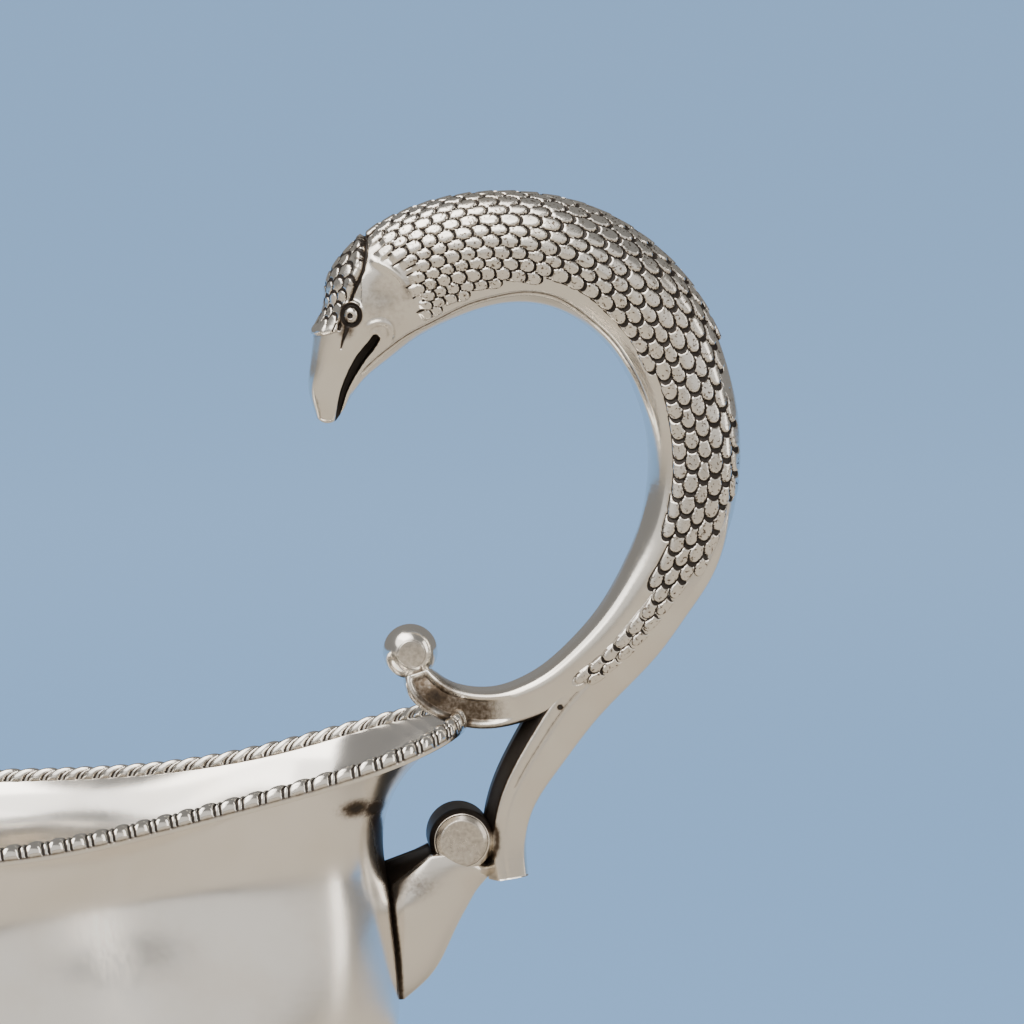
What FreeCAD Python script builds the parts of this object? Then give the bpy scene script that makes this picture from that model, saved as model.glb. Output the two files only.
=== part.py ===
import FreeCAD, Part
import math
import os
from FreeCAD import Vector

# A silver sauce boat: a raised oval bowl with a pouring lip, a lobed border wire round the rim,
# an oval pedestal foot, and a cast handle in the form of a bird's neck and head that rises over
# the rim and runs down to a bracket on the bowl's end.
# Millimetres. +Z is up, +X points to the handle and -X to the spout, and the origin is the centre
# of the foot's standing face.

# ---- bowl ----
SHEET = 1.1                 # thickness of the raised sheet
BOWL_BOTTOM = 26.0          # height of the bowl's underside
RIM_BACK = 78.0             # x of the rim at the handle end
RIM_FRONT = -92.0           # x of the lip
RIM_LOW_X = 3.0             # where the rim is lowest
RIM_LOW_Z = 81.0            # its height there
RIM_RISE_BACK = 14.0        # how far it rises to the handle
RIM_RISE_FRONT = 16.0       # and to the lip
# Level curves of the bowl from bottom to rim:
# (share of the rim's height, back x, front x, half width, share of the waists)
BOWL_LEVELS = [
    (0.00, 20.0, -20.0, 14.0, 0.00),
    (0.03, 33.0, -32.0, 21.5, 0.04),
    (0.09, 47.0, -45.0, 29.5, 0.12),
    (0.20, 60.0, -57.0, 36.0, 0.25),
    (0.35, 68.4, -64.0, 40.0, 0.50),
    (0.52, 69.2, -67.0, 40.6, 0.70),
    (0.68, 68.2, -69.5, 39.4, 0.85),
    (0.83, 67.2, -74.0, 38.6, 1.00),
    (0.92, 69.4, -80.5, 39.4, 1.00),
    (0.97, 73.2, -86.5, 40.8, 1.00),
    (1.00, 78.0, -92.0, 42.0, 1.00),
]
# The oval is drawn in at two waists and blunt at its ends: (cosine of the place, depth, spread)
WAISTS = [(0.61, 0.285, 0.27), (-0.76, 0.24, 0.26)]
END_BLUNTNESS = 0.18
LEVEL_POINTS = 48

# ---- border wires ----
WIRE_HIGH = 2.6             # height of the border wires
WIRE_THICK = 2.4            # and their thickness
WIRE_STEPS = 32             # sections along one half of a border
# The section over its flat base: (share of the half thickness, share of the height)
WIRE_SECTION = [(1, 0), (1, 0.31), (0.72, 0.86), (0, 1), (-0.72, 0.86), (-1, 0.31), (-1, 0)]

# ---- foot ----
RING_LONG, RING_WIDE = 39.0, 29.0       # half axes of the flat ring that the foot stands on
RING_HIGH, RING_BAND = 1.6, 4.2
FOOT_SHEET = 1.0
# (height, half length, half width) of the pedestal's outside, from its edge to the bowl
FOOT_LEVELS = [
    (1.6, 36.5, 26.5),
    (3.6, 35.4, 25.4),
    (6.0, 31.2, 21.6),
    (9.5, 23.4, 15.4),
    (14.0, 17.4, 11.2),
    (19.0, 15.2, 9.9),
    (23.5, 16.6, 11.0),
    (26.0, 20.0, 14.0),
]
COLLAR_Z, COLLAR_R = 19.0, 1.3          # the bead round the pedestal's waist

# ---- handle ----
CAST_WALL = 1.4             # thickness of the two hollow cast halves
# The neck from beak tip to tail: (x, z, thickness in the side view, width across)
NECK = [
    (59.1, 136.6, 1.8, 1.8),
    (59.6, 138.7, 4.2, 3.2),
    (60.1, 141.6, 6.2, 4.6),
    (61.2, 145.0, 8.8, 6.8),
    (63.2, 149.4, 12.6, 9.6),
    (67.2, 154.8, 15.8, 11.6),
    (74.2, 159.2, 16.8, 12.8),
    (84.8, 161.4, 15.8, 13.4),
    (93.9, 159.9, 15.2, 13.4),
    (101.3, 155.3, 14.9, 13.2),
    (106.0, 149.6, 14.5, 13.0),
    (109.0, 143.0, 13.9, 12.8),
    (110.7, 135.6, 13.3, 12.6),
    (110.7, 128.4, 13.0, 12.2),
    (109.0, 120.4, 12.3, 11.6),
    (105.7, 113.3, 10.9, 10.8),
    (100.4, 106.6, 8.2, 10.0),
    (93.4, 101.2, 6.2, 9.4),
    (87.4, 98.2, 5.4, 9.0),
    (82.6, 96.9, 5.2, 9.0),
    (78.2, 97.2, 5.2, 8.8),
    (74.7, 98.6, 5.2, 8.0),
    (72.3, 100.9, 5.0, 7.0),
    (71.2, 103.6, 4.4, 6.0),
]
CAVITY_STATIONS = (4, 16)   # first and last station of NECK between which the casting is hollow
# The strut that leaves the neck and stands on the bracket: (x, z, thickness, width across)
STRUT = [
    (104.4, 109.4, 8.4, 9.8),
    (99.6, 103.9, 8.8, 9.6),
    (94.6, 98.3, 8.6, 9.4),
    (90.4, 93.2, 8.2, 9.2),
    (87.0, 87.8, 7.2, 9.0),
    (84.8, 82.4, 6.2, 9.0),
    (84.3, 77.6, 5.8, 9.0),
    (84.7, 73.2, 5.2, 9.0),
]
VENT_AT, VENT_R = (91.7, 97.5), 0.45    # the casting's vent hole, through both sides
EYE_AT, EYE_R, EYE_PROUD = (62.6, 152.0), 1.25, 4.9
# The open mouth, from the corner of the beak to its tip: (x, z, half width of the slot)
MOUTH = [
    (65.6, 149.0, 0.70),
    (64.9, 146.4, 0.70),
    (63.6, 143.2, 0.60),
    (62.2, 140.2, 0.45),
    (61.0, 136.0, 0.35),
]
MOUTH_WEB = 1.6             # thickness left between the slots of the two sides

# ---- tail ball and bracket ----
BALL_AT, BALL_R = (71.0, 104.9), 3.85
BALL_FLAT = 3.1             # the ball is cut flat this far from its centre on both sides
BALL_DISC_R, BALL_DISC_HIGH = 1.9, 0.4
ROLL_AT, ROLL_R, ROLL_WIDE = (77.9, 78.7), 4.5, 10.0
DISC_R, DISC_TOP_R, DISC_HIGH = 3.7, 2.9, 0.8
# The pod that joins the roll to the bowl: (z, outermost x, half width), top to bottom
POD = [
    (77.4, 74.6, 2.6),
    (75.8, 79.4, 4.4),
    (73.6, 82.2, 5.6),
    (71.0, 80.4, 6.2),
    (68.4, 78.6, 6.2),
    (66.0, 77.3, 5.7),
    (63.4, 76.3, 4.8),
    (60.8, 75.0, 3.6),
    (58.2, 73.0, 2.3),
    (56.0, 70.7, 1.0),
]
POD_BACK = 64.0             # the pod's sections start here, inside the bowl's wall
POD_POWER = 0.6             # fullness of the pod's level sections

FAR = 400.0                 # beyond everything, for cutting tools


def closed_curve(points):
    """A smooth closed wire through the points."""
    curve = Part.BSplineCurve()
    curve.interpolate(Points=points, PeriodicFlag=True)
    return Part.Wire(curve.toShape())


def oval(z, long_half, wide_half):
    """A horizontal ellipse about the Z axis."""
    edge = Part.Ellipse(Vector(0, 0, z), long_half, wide_half).toShape()
    return Part.Wire(edge)


def half_of(shape, side):
    """The part of a shape on one side of the middle plane: side is -1 (-Y) or 1 (+Y)."""
    corner = Vector(-FAR, min(0, side * FAR), -FAR)
    return shape.common(Part.makeBox(2 * FAR, FAR, 2 * FAR, corner))


def mirrored(shape):
    """The same shape on the other side of the middle plane."""
    return shape.mirror(Vector(0, 0, 0), Vector(0, 1, 0))


def rod_across(place, radius, half_length):
    """A round rod along Y through a place (x, z)."""
    start = Vector(place[0], -half_length, place[1])
    return Part.makeCylinder(radius, 2 * half_length, start, Vector(0, 1, 0))


# ---- bowl ----


def rim_height(x):
    """Height of the rim's line at x. It is lowest at RIM_LOW_X."""
    if x > RIM_LOW_X:
        return RIM_LOW_Z + RIM_RISE_BACK * ((x - RIM_LOW_X) / (RIM_BACK - RIM_LOW_X)) ** 2
    return RIM_LOW_Z + RIM_RISE_FRONT * ((x - RIM_LOW_X) / (RIM_FRONT - RIM_LOW_X)) ** 2


def level_point(level, angle):
    """A point of a level curve. Angle 0 is the handle end and half a turn is the spout."""
    share, back, front, half_width, waisted = level
    along = math.cos(angle)
    x = (back + front) / 2 + (back - front) / 2 * along
    width = 1 + waisted * END_BLUNTNESS * along ** 8
    for place, depth, spread in WAISTS:
        width -= waisted * depth * math.exp(-(((along - place) / spread) ** 2))
    y = half_width * math.sin(angle) * width
    return Vector(x, y, BOWL_BOTTOM + share * (rim_height(x) - BOWL_BOTTOM))


def bowl_rows(depth):
    """Rows of points, one row a level, at a depth below the bowl's outside."""
    turn = 2 * math.pi / LEVEL_POINTS
    rows = [[level_point(level, i * turn) for i in range(LEVEL_POINTS)] for level in BOWL_LEVELS]
    last = len(rows) - 1
    moved = []
    for r, row in enumerate(rows):
        above, below = rows[min(r + 1, last)], rows[max(r - 1, 0)]
        new = []
        for i, point in enumerate(row):
            along = row[(i + 1) % LEVEL_POINTS] - row[i - 1]
            out = along.cross(above[i] - below[i]).normalize()
            step = out * depth
            if r == last:
                step.z = 0
            if r == 0:
                step.z = -depth
            new.append(point - step)
        moved.append(new)
    return moved


def skin(rows):
    """The smooth open surface through rows of points."""
    return Part.makeLoft([closed_curve(row) for row in rows], False, False)


def end_ring(surface, top):
    """The closed edge at a skin's top or bottom."""
    rings = [edge for edge in surface.Edges if edge.isClosed()]
    rings.sort(key=lambda edge: edge.CenterOfMass.z)
    return rings[-1] if top else rings[0]


def solid_of(faces):
    """The solid that the faces enclose."""
    shell = Part.makeShell(faces)
    shell.sewShape()
    solid = Part.makeSolid(shell)
    if solid.Volume < 0:
        solid.reverse()
    return solid


def make_bowl():
    """The raised bowl: an outer and an inner skin, joined at the rim, each with a flat bottom."""
    skins = [skin(bowl_rows(0)), skin(bowl_rows(SHEET))]
    lip = Part.makeRuledSurface(end_ring(skins[0], True), end_ring(skins[1], True))
    bottoms = [Part.Face(Part.Wire(end_ring(surface, False))) for surface in skins]
    return solid_of(skins[0].Faces + skins[1].Faces + [lip] + bottoms)


def filled_bowl():
    """The bowl's outside as a block with a column above it, for cutting what meets the bowl."""
    outer = skin(bowl_rows(0))
    rim = end_ring(outer, True)
    rise = Vector(0, 0, FAR / 4)
    wall = rim.extrude(rise)
    raised = rim.copy()
    raised.translate(rise)
    lid = Part.makeFilledFace([raised])
    bottom = Part.Face(Part.Wire(end_ring(outer, False)))
    return solid_of(outer.Faces + wall.Faces + [lid, bottom])


# ---- border wires ----


def border_half(path):
    """Half a border wire on a path of points: flat below and half round above."""
    sections = []
    last = len(path) - 1
    for i, point in enumerate(path):
        ahead = path[min(i + 1, last)] - path[max(i - 1, 0)]
        if i in (0, last):
            ahead.x = 0
        outward = Vector(ahead.y, -ahead.x, 0).normalize() * (WIRE_THICK / 2)
        points = [point + outward * across + Vector(0, 0, WIRE_HIGH * high) for across, high in WIRE_SECTION]
        arch = Part.BSplineCurve()
        arch.interpolate(points)
        base = Part.makeLine(points[-1], points[0])
        sections.append(Part.Wire([arch.toShape(), base]))
    return Part.makeLoft(sections, True, False)


def rim_path():
    """Points along the sheet's middle at the rim, from the handle end round to the lip, +Y side."""
    path = []
    for i in range(WIRE_STEPS + 1):
        angle = math.pi * i / WIRE_STEPS
        path.append(level_point(BOWL_LEVELS[-1], angle))
    return path


def foot_path():
    """Points along the foot's border, from the handle end round to the spout end, +Y side."""
    long_half = RING_LONG - WIRE_THICK / 2
    wide_half = RING_WIDE - WIRE_THICK / 2
    path = []
    for i in range(WIRE_STEPS + 1):
        angle = math.pi * i / WIRE_STEPS
        path.append(Vector(long_half * math.cos(angle), wide_half * math.sin(angle), RING_HIGH))
    return path


# ---- foot ----


def foot_inside():
    """The pedestal's levels moved inwards by the sheet's thickness."""
    moved = []
    last = len(FOOT_LEVELS) - 1
    for i, (z, long_half, wide_half) in enumerate(FOOT_LEVELS):
        above, below = FOOT_LEVELS[min(i + 1, last)], FOOT_LEVELS[max(i - 1, 0)]
        rise = above[0] - below[0]
        run = above[1] - below[1]
        reach = math.hypot(rise, run)
        inward = FOOT_SHEET * rise / reach
        down = -FOOT_SHEET * run / reach
        if i in (0, last):
            inward = FOOT_SHEET
            down = 0
        moved.append((z - down, long_half - inward, wide_half - inward))
    return moved


def make_pedestal():
    """The hollow oval pedestal, open below and soldered to the bowl's flat bottom above."""
    outside = Part.makeLoft([oval(*level) for level in FOOT_LEVELS], True, False)
    inside = Part.makeLoft([oval(*level) for level in foot_inside()], True, False)
    return outside.cut(inside)


def make_foot_ring():
    """The flat oval ring that the foot stands on."""
    outside = oval(0, RING_LONG, RING_WIDE)
    inside = oval(0, RING_LONG - RING_BAND, RING_WIDE - RING_BAND)
    return Part.Face([outside, inside]).extrude(Vector(0, 0, RING_HIGH))


def make_collar():
    """The bead round the pedestal's waist."""
    waist = min(FOOT_LEVELS, key=lambda level: level[1])
    sections = []
    for i in range(WIRE_STEPS + 1):
        angle = math.pi * i / WIRE_STEPS
        centre = Vector(waist[1] * math.cos(angle), waist[2] * math.sin(angle), COLLAR_Z)
        ahead = Vector(-waist[1] * math.sin(angle), waist[2] * math.cos(angle), 0)
        sections.append(Part.Wire(Part.Circle(centre, ahead, COLLAR_R).toShape()))
    half = Part.makeLoft(sections, True, False)
    pedestal = Part.makeLoft([oval(*level) for level in FOOT_LEVELS], True, False)
    return half.fuse(mirrored(half)).cut(pedestal)


# ---- handle ----


def limb(stations, wall=0.0):
    """A solid limb of oval sections along stations, thinner by a wall all round."""
    sections = []
    last = len(stations) - 1
    for i, (x, z, thick, across) in enumerate(stations):
        ahead, behind = stations[min(i + 1, last)], stations[max(i - 1, 0)]
        run, rise = ahead[0] - behind[0], ahead[1] - behind[1]
        reach = math.hypot(run, rise)
        side = Vector(-rise / reach, 0, run / reach)
        points = []
        for k in range(12):
            turn = 2 * math.pi * k / 12
            across_y = (across / 2 - wall) * math.sin(turn)
            offset = side * ((thick / 2 - wall) * math.cos(turn))
            points.append(Vector(x, across_y, z) + offset)
        sections.append(closed_curve(points))
    return Part.makeLoft(sections, True, False)


def mouth_slot():
    """The open mouth as a tool: a curved tapering slot cut into each side of the beak."""
    sides = {1: [], -1: []}
    last = len(MOUTH) - 1
    for i, (x, z, half) in enumerate(MOUTH):
        ahead, behind = MOUTH[min(i + 1, last)], MOUTH[max(i - 1, 0)]
        run, rise = ahead[0] - behind[0], ahead[1] - behind[1]
        reach = math.hypot(run, rise)
        for side in sides:
            sides[side].append(Vector(x - side * half * rise / reach, 0, z + side * half * run / reach))
    edges = []
    for points in sides.values():
        curve = Part.BSplineCurve()
        curve.interpolate(points)
        edges.append(curve.toShape())
    edges.append(Part.makeLine(sides[1][0], sides[-1][0]))
    edges.append(Part.makeLine(sides[1][-1], sides[-1][-1]))
    face = Part.Face(Part.Wire(Part.__sortEdges__(edges)))
    x, z, half = MOUTH[0]
    slot = face.extrude(Vector(0, FAR, 0)).fuse(rod_across((x, z), half, FAR))
    slot = half_of(slot, 1)
    slot.translate(Vector(0, MOUTH_WEB / 2, 0))
    return slot.fuse(mirrored(slot))


def make_handle():
    """The whole casting: bird's head, neck and tail scroll, with the strut, before it is split."""
    first, last = CAVITY_STATIONS
    casting = limb(NECK).fuse(limb(STRUT))
    casting = casting.fuse(rod_across(EYE_AT, EYE_R, EYE_PROUD))
    casting = casting.cut(limb(NECK[first:last + 1], CAST_WALL))
    casting = casting.cut(mouth_slot())
    casting = casting.cut(rod_across(VENT_AT, VENT_R, FAR))
    casting = casting.cut(rod_across(ROLL_AT, ROLL_R, FAR))
    return casting.cut(make_ball())


def make_ball():
    """The ball on the tail scroll, cut flat on both sides."""
    ball = Part.makeSphere(BALL_R, Vector(BALL_AT[0], 0, BALL_AT[1]))
    return ball.common(rod_across(BALL_AT, BALL_R, BALL_FLAT))


def disc_on(place, start, radius, top_radius, high):
    """A bevelled disc that stands on a face at y = start and faces +Y."""
    base = Vector(place[0], start, place[1])
    if radius == top_radius:
        return Part.makeCylinder(radius, high, base, Vector(0, 1, 0))
    return Part.makeCone(radius, top_radius, high, base, Vector(0, 1, 0))


def make_pod():
    """The keel-shaped pod that carries the roll, before it is cut to the bowl's side."""
    sections = []
    for z, out_x, half in POD:
        deep = out_x - POD_BACK
        points = []
        for k in range(16):
            turn = 2 * math.pi * k / 16
            along = math.cos(turn)
            y = half * math.copysign(abs(math.sin(turn)) ** POD_POWER, math.sin(turn))
            points.append(Vector(POD_BACK + deep * (1 + along) / 2, y, z))
        sections.append(closed_curve(points))
    return Part.makeLoft(sections, True, False)


def largest(shape):
    """The largest solid of a result that may hold crumbs."""
    return max(shape.Solids, key=lambda solid: solid.Volume)


def save(shape, node):
    """Write one node's STEP file."""
    shape.exportStep("parts/" + node + ".step")


def build():
    """Make every piece and write it."""
    os.makedirs("parts", exist_ok=True)
    handle = make_handle()
    ball = make_ball()
    roll = rod_across(ROLL_AT, ROLL_R, ROLL_WIDE / 2)
    full_strut = limb(STRUT)
    full_neck = limb(NECK)
    bowl = make_bowl().cut(full_neck)
    save(largest(bowl), "bowl_shell")

    border = border_half(rim_path()).cut(full_neck)
    save(largest(border), "rim_border_left")
    save(mirrored(largest(border)), "rim_border_right")

    half = largest(half_of(handle, 1))
    save(half, "handle_half_left")
    save(mirrored(half), "handle_half_right")

    save(ball, "tail_ball")
    ball_disc = disc_on(BALL_AT, BALL_FLAT, BALL_DISC_R, BALL_DISC_R, BALL_DISC_HIGH)
    save(ball_disc, "tail_ball_disc_left")
    save(mirrored(ball_disc), "tail_ball_disc_right")

    save(roll, "bracket_roll")
    roll_disc = disc_on(ROLL_AT, ROLL_WIDE / 2, DISC_R, DISC_TOP_R, DISC_HIGH)
    save(roll_disc, "roll_disc_left")
    save(mirrored(roll_disc), "roll_disc_right")

    pod = make_pod().cut(filled_bowl()).cut(roll).cut(full_strut)
    half = largest(half_of(pod, 1))
    save(half, "bracket_pod_left")
    save(mirrored(half), "bracket_pod_right")

    save(make_pedestal(), "foot_pedestal")
    save(make_collar(), "foot_collar")
    save(make_foot_ring(), "foot_ring")
    foot_border = border_half(foot_path())
    save(foot_border, "foot_border_left")
    save(mirrored(foot_border), "foot_border_right")


build()
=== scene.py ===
import math

import bpy
import numpy as np
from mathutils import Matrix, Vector


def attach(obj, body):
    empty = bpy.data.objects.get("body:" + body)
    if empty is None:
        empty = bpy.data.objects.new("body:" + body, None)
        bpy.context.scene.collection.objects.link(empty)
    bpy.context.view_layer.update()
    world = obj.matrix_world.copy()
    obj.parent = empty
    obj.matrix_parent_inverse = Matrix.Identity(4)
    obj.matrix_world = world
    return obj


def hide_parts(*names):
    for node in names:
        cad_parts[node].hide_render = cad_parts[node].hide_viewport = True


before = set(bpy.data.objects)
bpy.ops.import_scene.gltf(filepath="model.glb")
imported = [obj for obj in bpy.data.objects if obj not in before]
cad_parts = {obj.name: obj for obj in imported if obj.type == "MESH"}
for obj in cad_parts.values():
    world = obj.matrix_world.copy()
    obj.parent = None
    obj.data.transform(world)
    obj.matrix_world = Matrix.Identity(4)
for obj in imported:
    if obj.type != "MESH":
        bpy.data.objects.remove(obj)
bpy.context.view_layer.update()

# The looks of a silver sauce boat. Lengths in the tables are millimetres in the row frame and are
# turned into metres when a mesh is made. +X is the handle end, -X the lip, +Z up.
# Most relief is drawn in the side view, as a function of (x, z), and laid on along the normals.

MM = 0.001
SIDES = ((1, "left"), (-1, "right"))
ROLL = (77.9, 78.7)         # (x, z) of the roll the handle's strut stands on

# ---- curves and fields


def spline(knots, values, at):
    """Natural cubic spline through values at knots, one column each, read at many places."""
    knots = np.asarray(knots, float)
    values = np.asarray(values, float)
    n = len(knots)
    h = np.diff(knots)
    system = np.zeros((n, n))
    right = np.zeros(values.shape)
    system[0, 0] = system[-1, -1] = 1
    for i in range(1, n - 1):
        system[i, i - 1:i + 2] = h[i - 1], 2 * (h[i - 1] + h[i]), h[i]
        right[i] = 6 * ((values[i + 1] - values[i]) / h[i] - (values[i] - values[i - 1]) / h[i - 1])
    bend = np.linalg.solve(system, right)
    k = np.clip(np.searchsorted(knots, at, side="right") - 1, 0, n - 2)
    u = (at - knots[k])[:, None]
    w = (knots[k + 1] - at)[:, None]
    g = h[k][:, None]
    cubic = (bend[k] * w ** 3 + bend[k + 1] * u ** 3) / (6 * g)
    linear = (values[k] / g - bend[k] * g / 6) * w + (values[k + 1] / g - bend[k + 1] * g / 6) * u
    return cubic + linear


def chord(points):
    """Distance along a line of points, from its start."""
    steps = np.linalg.norm(np.diff(points, axis=0), axis=1)
    return np.concatenate([[0], np.cumsum(steps)])


def smooth_line(points, count):
    """A smooth line through 2-D or 3-D points, as evenly spaced points."""
    points = np.asarray(points, float)
    run = chord(points)
    fine = spline(run, points, np.linspace(0, run[-1], 8 * count))
    length = chord(fine)
    even = np.linspace(0, length[-1], count)
    return np.stack([np.interp(even, length, fine[:, i]) for i in range(points.shape[1])], 1)


def left_of(line):
    """Unit directions to the left of a line in the side view, point by point."""
    tangent = np.gradient(line, axis=0)
    tangent /= np.linalg.norm(tangent, axis=1)[:, None]
    return np.stack([-tangent[:, 1], tangent[:, 0]], 1)


def read(table, at):
    """A value from a table of (place, value) pairs, with straight runs between them."""
    places, values = zip(*table)
    return np.interp(at, places, values)


def step(low, high, x):
    """Smooth step from 0 at low to 1 at high."""
    t = np.clip((x - low) / (high - low), 0, 1)
    return t * t * (3 - 2 * t)


def bell(x, reach):
    """A soft bump: 1 at x = 0, and almost nothing two reaches away."""
    return np.exp(-((x / reach) ** 2))


def plateau(x, reach):
    """A flat-topped bump with steeper sides than a bell."""
    return np.exp(-((x / reach) ** 4))


def spot(x, z, place, reach):
    """A soft oval spot at a place of the side view."""
    return np.exp(-(((x - place[0]) / reach[0]) ** 2 + ((z - place[1]) / reach[1]) ** 2))


def to_line(x, z, line):
    """Distance from points of the side view to a line, and the share of the line that is nearest."""
    best = np.full(x.shape, 1e9)
    share = np.zeros(x.shape)
    run = chord(line)
    for i in range(len(line) - 1):
        ax, az = line[i]
        bx, bz = line[i + 1] - line[i]
        t = np.clip(((x - ax) * bx + (z - az) * bz) / (bx * bx + bz * bz), 0, 1)
        d = np.hypot(x - ax - t * bx, z - az - t * bz)
        nearer = d < best
        share = np.where(nearer, (run[i] + t * (run[i + 1] - run[i])) / run[-1], share)
        best = np.where(nearer, d, best)
    return best, share


def inside(x, z, outline):
    """Distance inside a closed outline of the side view: positive inside, negative outside."""
    within = np.zeros(x.shape, bool)
    closed = np.vstack([outline, outline[:1]])
    for (ax, az), (bx, bz) in zip(closed[:-1], closed[1:]):
        if az == bz:
            continue
        within ^= ((az > z) != (bz > z)) & (x < (bx - ax) * (z - az) / (bz - az) + ax)
    distance, _ = to_line(x, z, closed)
    return np.where(within, distance, -distance)


# ---- meshes


def make_mesh(name, points, faces, node, material, dark=None, feather=None):
    """A smooth piece from millimetre points, on the root body, in place of its CAD node.
    dark says how oxidised each point is, together with painted shade and painted dark reflections on some
    parts, and feather where the small pits are."""
    mesh = bpy.data.meshes.new(name)
    mesh.from_pydata((np.asarray(points).reshape(-1, 3) * MM).tolist(), [], faces)
    for label, values in (("dark", dark), ("feather", feather)):
        if values is not None:
            layer = mesh.attributes.new(label, "FLOAT", "POINT")
            layer.data.foreach_set("value", np.asarray(values, np.float32).ravel())
    mesh.shade_smooth()
    mesh.update()
    piece = bpy.data.objects.new(name, mesh)
    bpy.context.scene.collection.objects.link(piece)
    mesh.materials.append(material)
    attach(piece, "root")
    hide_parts(node)


def grid_faces(rows, columns, close=False, flip=False, start=0):
    """Quads of a grid of points. close joins the last column to the first."""
    faces = []
    across = columns if close else columns - 1
    for r in range(rows - 1):
        for c in range(across):
            a = start + r * columns + c
            b = start + r * columns + (c + 1) % columns
            quad = (a, b, b + columns, a + columns)
            faces.append(quad[::-1] if flip else quad)
    return faces


def row_face(row, columns, flip=False, start=0):
    """One face that closes a grid at a row."""
    first = start + row * columns
    face = tuple(range(first, first + columns))
    return face[::-1] if flip else face


def tube_faces(rows, columns, flip=False):
    """Quads of a closed tube of points, and the two faces that close its ends."""
    faces = grid_faces(rows, columns, close=True, flip=flip)
    faces.append(row_face(0, columns, flip=not flip))
    faces.append(row_face(rows - 1, columns, flip=flip))
    return faces


# ---- silver

# Oxide colours. They also colour the painted shade and painted dark reflections that the dark attribute
# holds.
OXIDE_AND_SHADE_BROWN = (0.125, 0.092, 0.064, 1.0)
OXIDE_AND_SHADE_BLACK = (0.020, 0.015, 0.012, 1.0)
HAZE_TONE = (0.80, 0.72, 0.60)      # share of each channel left under full haze
SCRATCH_DEPTH = 0.00002
# Hairlines in three directions: (scale, detail, stretch, turn)
SCRATCHES = [
    (900.0, 3.0, (1.0, 1.0, 0.04), (0.5, 0.3, 0.2)),
    (800.0, 3.0, (1.0, 0.05, 1.0), (0.2, 1.1, 0.7)),
    (1000.0, 2.0, (0.04, 1.0, 1.0), (0.9, 0.1, 0.4)),
]


class Silver:
    """A node tree for polished silver, with helpers that add one node each."""

    def __init__(self, name):
        self.material = bpy.data.materials.new(name)
        self.material.use_nodes = True
        self.nodes = self.material.node_tree.nodes
        self.links = self.material.node_tree.links
        self.shader = self.nodes["Principled BSDF"]
        self.place = self.nodes.new("ShaderNodeTexCoord").outputs["Object"]

    def noise(self, scale, detail, stretch=(1, 1, 1), turn=(0, 0, 0)):
        mapping = self.nodes.new("ShaderNodeMapping")
        mapping.inputs["Scale"].default_value = stretch
        mapping.inputs["Rotation"].default_value = turn
        self.links.new(self.place, mapping.inputs["Vector"])
        texture = self.nodes.new("ShaderNodeTexNoise")
        texture.inputs["Scale"].default_value = scale
        texture.inputs["Detail"].default_value = detail
        self.links.new(mapping.outputs["Vector"], texture.inputs["Vector"])
        return texture.outputs["Fac"]

    def layer(self, name):
        node = self.nodes.new("ShaderNodeAttribute")
        node.attribute_name = name
        return node.outputs["Fac"]

    def ramp(self, value, low, high, out_low, out_high):
        node = self.nodes.new("ShaderNodeMapRange")
        node.interpolation_type = "SMOOTHSTEP"
        for key, number in (("From Min", low), ("From Max", high), ("To Min", out_low), ("To Max", out_high)):
            node.inputs[key].default_value = number
        self.links.new(value, node.inputs["Value"])
        return node.outputs["Result"]

    def maths(self, kind, a, b):
        node = self.nodes.new("ShaderNodeMath")
        node.operation = kind
        for socket, value in zip(node.inputs, (a, b)):
            self.feed(socket, value, float)
        return node.outputs["Value"]

    def mix(self, share, a, b):
        node = self.nodes.new("ShaderNodeMix")
        node.data_type = "RGBA"
        self.links.new(share, node.inputs["Factor"])
        self.feed(node.inputs["A"], a, tuple)
        self.feed(node.inputs["B"], b, tuple)
        return node.outputs["Result"]

    def feed(self, socket, value, constant):
        """Sets a socket to a constant, or links it to another node's output."""
        if isinstance(value, constant):
            socket.default_value = value
        else:
            self.links.new(value, socket)

    def oxide_and_shade(self):
        """Oxide in the mesh's recesses, and the painted shade and painted dark reflections that the dark
        attribute also holds, slightly ragged, and small pits where there are feathers.
        """
        ragged = self.maths("SUBTRACT", self.maths("MULTIPLY", self.noise(1800.0, 4.0), 0.34), 0.17)
        pits = self.ramp(self.noise(2400.0, 3.0), 0.54, 0.66, 0.0, 0.46)
        dark = self.layer("dark")
        known = self.ramp(dark, 0.02, 0.12, 0.0, 1.0)
        recess = self.maths("ADD", dark, self.maths("MULTIPLY", ragged, known))
        return self.maths("MAXIMUM", recess, self.maths("MULTIPLY", pits, self.layer("feather")))

    def scratches(self, strength):
        """Fine hairlines as a bump."""
        first, second, third = (self.noise(*one) for one in SCRATCHES)
        bump = self.nodes.new("ShaderNodeBump")
        bump.inputs["Strength"].default_value = strength
        bump.inputs["Distance"].default_value = SCRATCH_DEPTH
        lines = self.maths("ADD", self.maths("ADD", first, second), third)
        self.links.new(lines, bump.inputs["Height"])
        return bump.outputs["Normal"]


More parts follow.
